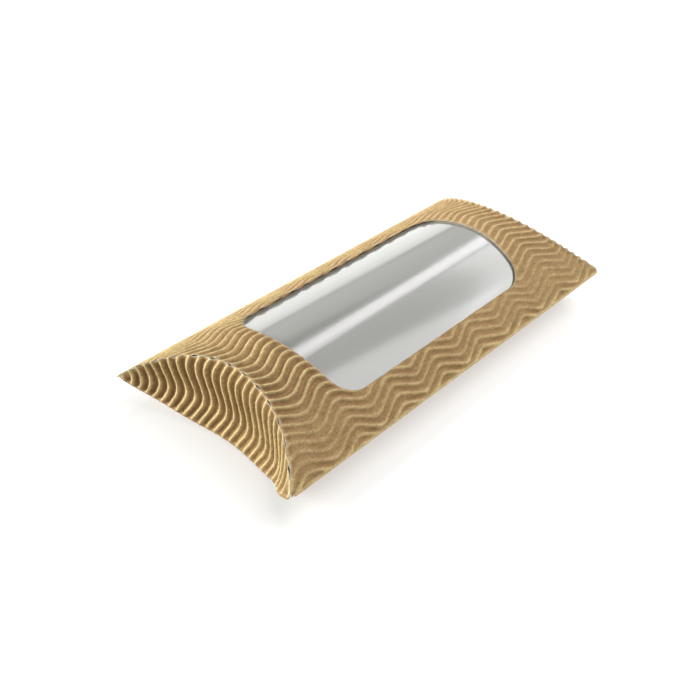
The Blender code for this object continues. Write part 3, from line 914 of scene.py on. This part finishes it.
def fold_path():
    """Outer line of the side fold from the top panel round to the bottom.

    Each stop has y, z, the inward normal's y and z, its place s, and 1 on the top panel, 0 on the
    rounding or -1 on the bottom.
    """
    back = SIDE_FOLD_RADIUS / math.tan(WEDGE)
    stops = []
    for s in np.linspace(TOP_EDGE + SIDE_FOLD_GAP, TOP_HALF - back, SIDE_FOLD_STOPS):
        y, z = top_section(s, 0)
        stops.append((y, z, -math.sin(s / TOP_RADIUS), -math.cos(s / TOP_RADIUS), s, 1))
    tip = np.array((HALF_WIDTH, SIDE_HEIGHT))
    tilt = WEDGE - BELLY_SLOPE
    centre = tip + SIDE_FOLD_RADIUS / math.sin(WEDGE) * np.array((-math.cos(tilt), math.sin(tilt)))
    first = math.pi / 2 - TOP_SLOPE
    last = -(math.pi / 2 - BELLY_SLOPE)
    for turn in np.linspace(first, last, SIDE_FOLD_TURNS)[1:-1]:
        out = np.array((math.cos(turn), math.sin(turn)))
        stops.append((*(centre + SIDE_FOLD_RADIUS * out), *(-out), 0, 0))
    for s in np.linspace(BOTTOM_HALF - back, BOTTOM_EDGE + SIDE_FOLD_GAP, SIDE_FOLD_STOPS):
        y, z = bottom_section(s, 0)
        angle = (s - BELLY_FLAT / 2) / BELLY_RADIUS
        stops.append((y, z, -math.sin(angle), math.cos(angle), s, -1))
    return np.array(stops)


def build_side_fold(name, side):
    path = fold_path()
    y, z, in_y, in_z, place, part = path.T
    shares = np.linspace(-1, 1, SIDE_FOLD_ROWS)[:, None]
    from_middle = np.abs(np.arange(len(path)) / (len(path) - 1) - 0.5) * 2
    share = SIDE_CRUSH_SHARE * from_middle ** SIDE_FOLD_FADE
    points, levels = [], []
    for sink in (0.0, SIDE_FOLD_PAPER):
        depth = sink + 0 * y
        for _ in range(SIDE_FOLD_STEPS):
            ends = np.where(part > 0, depth, BOARD + SIDE_FOLD_SETBACK)
            reach = wall_reach(y + in_y * depth, z + in_z * depth, ends)
            x = shares * (HALF_LENGTH - reach - CREASE_GAP / 2)
            phase = (place - side * wave(x)) / FLUTE_PITCH
            level = VALLEY_DEPTH * flute_profile(phase) * share * np.abs(part)
            depth = np.minimum(level, SIDE_FOLD_DENT) + sink
        face = np.stack([x, side * (y + in_y * depth), z + in_z * depth], -1)
        points.append(face.reshape(-1, 3))
        levels.append(1 - level.ravel() / VALLEY_DEPTH)
    faces, sides = shell_faces(grid_quads(len(shares), len(path)), len(points[0]), side < 0)
    piece = mesh_object(name + "_strip", np.concatenate(points), faces + sides, FLUTED,
                        {"relief": np.concatenate(levels)})
    dress(piece, name, "carton")


def build_window_glue():
    """A frame of glue a little outside the window's outline, between the liner and the film."""
    turns, here, ahead = ring(GLUE_PLACES)
    middle = np.array((0, WINDOW_MIDDLE_Y, 0))
    oval = np.stack([GLUE_START_STRETCH * np.cos(turns), np.sin(turns), 0 * turns], -1)
    start = middle + GLUE_START * oval
    edge = GLUE_UNEVEN * ripple(turns, turns, *GLUE_WAVES)
    inside, outside = GLUE_SETBACK, GLUE_SETBACK + GLUE_WIDTH
    outer, inner = BOARD, BOARD + GLUE_FILM
    corners = ((inside, outer), (outside, outer), (outside, inner), (inside, inner))
    loops = []
    for margin, depth in corners:
        flat = start.copy()
        for _ in range(GLUE_STEPS):
            gap, way = outline_gap(flat, 0)
            flat[:, :2] -= (gap - margin - edge)[:, None] * way
        loops.append(on_top(flat, depth))
    faces = []
    for k in range(len(corners)):
        low, high = k * GLUE_PLACES, (k + 1) % len(corners) * GLUE_PLACES
        faces += np.stack([low + here, low + ahead, high + ahead, high + here], -1).tolist()
    glue = mesh_object("window_glue_ring", np.concatenate(loops), faces, GLUE)
    dress(glue, "window_glue", "carton")


build_top()
build_bottom()
build_film()
for label, end in (("near", -1), ("far", 1)):
    build_outer_flap(label + "_outer_flap", end)
    build_inner_flap(label + "_inner_flap", end)
build_side_fold("front_side_fold", -1)
build_side_fold("back_side_fold", 1)
build_window_glue()

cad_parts["seam_glue"].data.materials[0] = GLUE
for node in ("glue_tab_fluting", "glue_tab_liner"):
    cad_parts[node].data.materials[0] = SMOOTH


# Camera, lights and floor

def build_camera():
    azimuth, elevation, roll = (math.radians(angle) for angle in CAMERA_ANGLES)
    out = math.cos(elevation)
    back = Vector((math.sin(azimuth) * out, -math.cos(azimuth) * out, math.sin(elevation)))
    level = Vector((math.cos(azimuth), math.sin(azimuth), 0))
    rise = back.cross(level)
    right = math.cos(roll) * level + math.sin(roll) * rise
    up = back.cross(right)
    data = bpy.data.cameras.new("photo_camera")
    data.lens = FOCAL_PIXELS / PHOTO_PIXELS * SENSOR
    data.sensor_width = SENSOR
    data.clip_start = CLIP_START
    camera = add_object("photo_camera", data)
    camera.matrix_world = Matrix((right, up, back)).transposed().to_4x4()
    camera.location = CAMERA_PLACE
    bpy.context.scene.camera = camera


def build_area_light(name, location, target, width, height, power, square_to,
                     colour=(1.0, 1.0, 1.0)):
    data = bpy.data.lights.new(name, "AREA")
    data.shape = "RECTANGLE"
    data.size = width
    data.size_y = height
    data.energy = power
    data.color = colour
    light = add_object(name, data)
    light.location = location
    back = (Vector(location) - Vector(target)).normalized()
    side = Vector(square_to).cross(back).normalized()
    light.rotation_euler = Matrix((side, back.cross(side), back)).transposed().to_euler()


def build_backdrop():
    """A bright round wall on the floor, seen by the camera alone so that it lights nothing."""
    turns, here, ahead = ring(BACKDROP_SIDES)
    circle = BACKDROP_RADIUS * np.stack([np.cos(turns), np.sin(turns), 0 * turns], -1)
    points = np.concatenate([circle - (0, 0, BACKDROP_FOOT), circle + (0, 0, BACKDROP_HEIGHT)])
    faces = np.stack([ahead, here, here + BACKDROP_SIDES, ahead + BACKDROP_SIDES], -1)
    mesh = bpy.data.meshes.new("backdrop")
    mesh.from_pydata(points.tolist(), [], faces.tolist())
    mesh.materials.append(node_material("pale_backdrop", {
        "Base Color": WHITE, "Emission Color": WHITE, "Emission Strength": 1.0})[0])
    backdrop = add_object("backdrop", mesh)
    backdrop.visible_diffuse = False
    backdrop.visible_glossy = False
    backdrop.visible_transmission = False
    backdrop.visible_shadow = False


def build_floor():
    """A wide pale floor, which glows brighter away from the carton."""
    mesh = bpy.data.meshes.new("floor")
    signs = ((-1, -1), (1, -1), (1, 1), (-1, 1))
    mesh.from_pydata([(a * FLOOR_REACH, b * FLOOR_REACH, 0) for a, b in signs], [], [(0, 1, 2, 3)])
    material, tree, shader = node_material("pale_floor", {
        "Base Color": FLOOR_GREY, "Roughness": 0.6, "Emission Color": WHITE})
    coordinates = tree.nodes.new("ShaderNodeTexCoord")
    away = tree.nodes.new("ShaderNodeVectorMath")
    away.operation = "LENGTH"
    tree.links.new(coordinates.outputs["Object"], away.inputs[0])
    glow = tree.nodes.new("ShaderNodeMapRange")
    limits = ("From Min", "From Max", "To Min", "To Max")
    for socket, value in zip(limits, (*FLOOR_GLOW_REACH, *FLOOR_GLOW)):
        glow.inputs[socket].default_value = value
    tree.links.new(away.outputs["Value"], glow.inputs["Value"])
    tree.links.new(glow.outputs["Result"], shader.inputs["Emission Strength"])
    mesh.materials.append(material)
    floor = add_object("floor", mesh)
    floor.location.z = -FLOOR_DROP


def build_world():
    world = bpy.data.worlds.new("studio")
    world.use_nodes = True
    background = world.node_tree.nodes["Background"]
    background.inputs["Color"].default_value = WHITE
    background.inputs["Strength"].default_value = WORLD_LIGHT
    bpy.context.scene.world = world
    bpy.context.scene.view_settings.view_transform = "Standard"


build_camera()
build_floor()
build_world()
build_backdrop()
for light in LIGHTS:
    build_area_light(*light)
